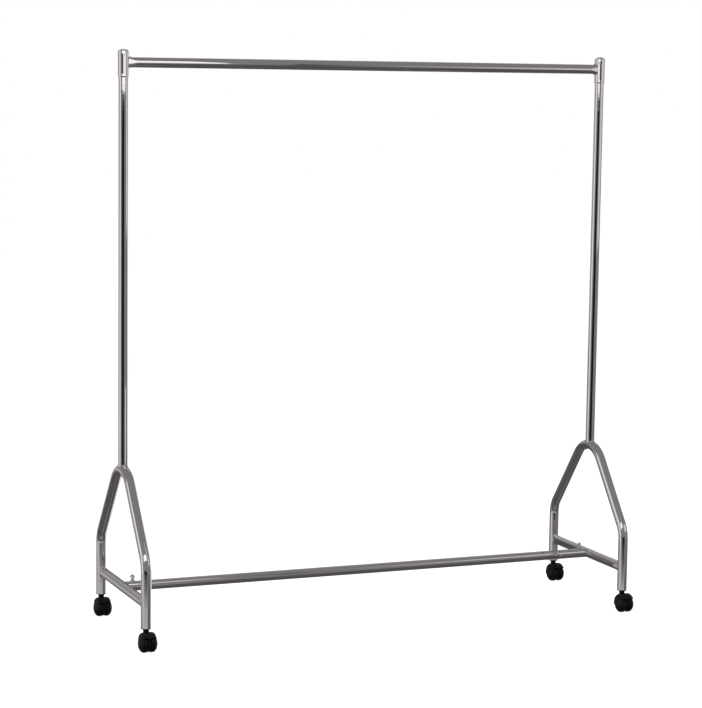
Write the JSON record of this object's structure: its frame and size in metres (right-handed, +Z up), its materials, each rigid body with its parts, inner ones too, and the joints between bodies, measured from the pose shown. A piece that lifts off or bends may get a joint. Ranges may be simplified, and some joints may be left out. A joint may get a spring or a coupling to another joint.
{
  "type": "garment rail",
  "caption": "Free-standing chromed garment rail: arched end frames on twin-wheel castors, two uprights, a lift-off top rail with slotted sleeves and a low tie rail held by thumb screws.",
  "frame": {"origin": "on the floor, under the middle of the bounding box", "axes": "+X along the rail from left to right, +Y from front to rear, +Z up"},
  "size_m": [1.575, 0.5184, 1.6861],
  "materials": {
    "chrome_tube": "polished chrome plate on steel tube",
    "chrome_fitting": "polished chrome plate",
    "zinc_spigot": "dull plated steel",
    "bright_screw": "bright plated steel",
    "steel_pin": "turned steel",
    "black_hood": "moulded black nylon, fine grain",
    "black_wheel": "moulded black nylon, worn smooth on the tread",
    "black_socket": "moulded black plastic"
  },
  "bodies": {
    "stand": {"left_end_frame": "chrome_tube", "left_cross_tube": "chrome_tube", "left_upright": "chrome_tube", "left_upright_spigot": "zinc_spigot", "left_tie_spigot": "zinc_spigot", "left_screw_nut": "bright_screw", "right_end_frame": "chrome_tube", "right_cross_tube": "chrome_tube", "right_upright": "chrome_tube", "right_upright_spigot": "zinc_spigot", "right_tie_spigot": "zinc_spigot", "right_screw_nut": "bright_screw", "tie_rail": "chrome_tube", "front_left_castor_socket": "black_socket", "front_left_castor_stem": "steel_pin", "front_right_castor_socket": "black_socket", "front_right_castor_stem": "steel_pin", "rear_left_castor_socket": "black_socket", "rear_left_castor_stem": "steel_pin", "rear_right_castor_socket": "black_socket", "rear_right_castor_stem": "steel_pin"},
    "hanging_rail": {"top_rail": "chrome_tube", "left_sleeve": "chrome_fitting", "right_sleeve": "chrome_fitting", "left_sleeve_cap": "chrome_fitting", "right_sleeve_cap": "chrome_fitting"},
    "left_screw": {"left_thumb_screw": "bright_screw"},
    "right_screw": {"right_thumb_screw": "bright_screw"},
    "front_left_castor_fork": {"front_left_castor_hood": "black_hood", "front_left_castor_axle": "steel_pin"},
    "front_left_castor_left_roller": {"front_left_castor_left_wheel": "black_wheel"},
    "front_left_castor_right_roller": {"front_left_castor_right_wheel": "black_wheel"},
    "front_right_castor_fork": {"front_right_castor_hood": "black_hood", "front_right_castor_axle": "steel_pin"},
    "front_right_castor_left_roller": {"front_right_castor_left_wheel": "black_wheel"},
    "front_right_castor_right_roller": {"front_right_castor_right_wheel": "black_wheel"},
    "rear_left_castor_fork": {"rear_left_castor_hood": "black_hood", "rear_left_castor_axle": "steel_pin"},
    "rear_left_castor_left_roller": {"rear_left_castor_left_wheel": "black_wheel"},
    "rear_left_castor_right_roller": {"rear_left_castor_right_wheel": "black_wheel"},
    "rear_right_castor_fork": {"rear_right_castor_hood": "black_hood", "rear_right_castor_axle": "steel_pin"},
    "rear_right_castor_left_roller": {"rear_right_castor_left_wheel": "black_wheel"},
    "rear_right_castor_right_roller": {"rear_right_castor_right_wheel": "black_wheel"}
  },
  "joints": [
    {"name": "top_rail_lift", "type": "slide", "parent": "stand", "child": "hanging_rail", "axis": [0, 0, 1], "range_m": [0, 0.09]},
    {"name": "left_screw_turn", "type": "hinge", "parent": "stand", "child": "left_screw", "pos_m": [-0.731, 0.0129, 0.1355], "axis": [0, 0, 1], "range_deg": [0, 720]},
    {"name": "right_screw_turn", "type": "hinge", "parent": "stand", "child": "right_screw", "pos_m": [0.731, 0.0129, 0.1355], "axis": [0, 0, 1], "range_deg": [0, 720]},
    {"name": "front_left_castor_swivel", "type": "hinge", "parent": "stand", "child": "front_left_castor_fork", "pos_m": [-0.76, -0.2181, 0.0618], "axis": [0, 0, 1], "continuous": true},
    {"name": "front_left_castor_left_roll", "type": "hinge", "parent": "front_left_castor_fork", "child": "front_left_castor_left_roller", "pos_m": [-0.774, -0.2341, 0.025], "axis": [1, 0, 0], "continuous": true},
    {"name": "front_left_castor_right_roll", "type": "hinge", "parent": "front_left_castor_fork", "child": "front_left_castor_right_roller", "pos_m": [-0.746, -0.2341, 0.025], "axis": [1, 0, 0], "continuous": true},
    {"name": "front_right_castor_swivel", "type": "hinge", "parent": "stand", "child": "front_right_castor_fork", "pos_m": [0.76, -0.2181, 0.0618], "axis": [0, 0, 1], "continuous": true},
    {"name": "front_right_castor_left_roll", "type": "hinge", "parent": "front_right_castor_fork", "child": "front_right_castor_left_roller", "pos_m": [0.746, -0.2341, 0.025], "axis": [1, 0, 0], "continuous": true},
    {"name": "front_right_castor_right_roll", "type": "hinge", "parent": "front_right_castor_fork", "child": "front_right_castor_right_roller", "pos_m": [0.774, -0.2341, 0.025], "axis": [1, 0, 0], "continuous": true},
    {"name": "rear_left_castor_swivel", "type": "hinge", "parent": "stand", "child": "rear_left_castor_fork", "pos_m": [-0.76, 0.2439, 0.0618], "axis": [0, 0, 1], "continuous": true},
    {"name": "rear_left_castor_left_roll", "type": "hinge", "parent": "rear_left_castor_fork", "child": "rear_left_castor_left_roller", "pos_m": [-0.774, 0.2279, 0.025], "axis": [1, 0, 0], "continuous": true},
    {"name": "rear_left_castor_right_roll", "type": "hinge", "parent": "rear_left_castor_fork", "child": "rear_left_castor_right_roller", "pos_m": [-0.746, 0.2279, 0.025], "axis": [1, 0, 0], "continuous": true},
    {"name": "rear_right_castor_swivel", "type": "hinge", "parent": "stand", "child": "rear_right_castor_fork", "pos_m": [0.76, 0.2439, 0.0618], "axis": [0, 0, 1], "continuous": true},
    {"name": "rear_right_castor_left_roll", "type": "hinge", "parent": "rear_right_castor_fork", "child": "rear_right_castor_left_roller", "pos_m": [0.746, 0.2279, 0.025], "axis": [1, 0, 0], "continuous": true},
    {"name": "rear_right_castor_right_roll", "type": "hinge", "parent": "rear_right_castor_fork", "child": "rear_right_castor_right_roller", "pos_m": [0.774, 0.2279, 0.025], "axis": [1, 0, 0], "continuous": true}
  ]
}
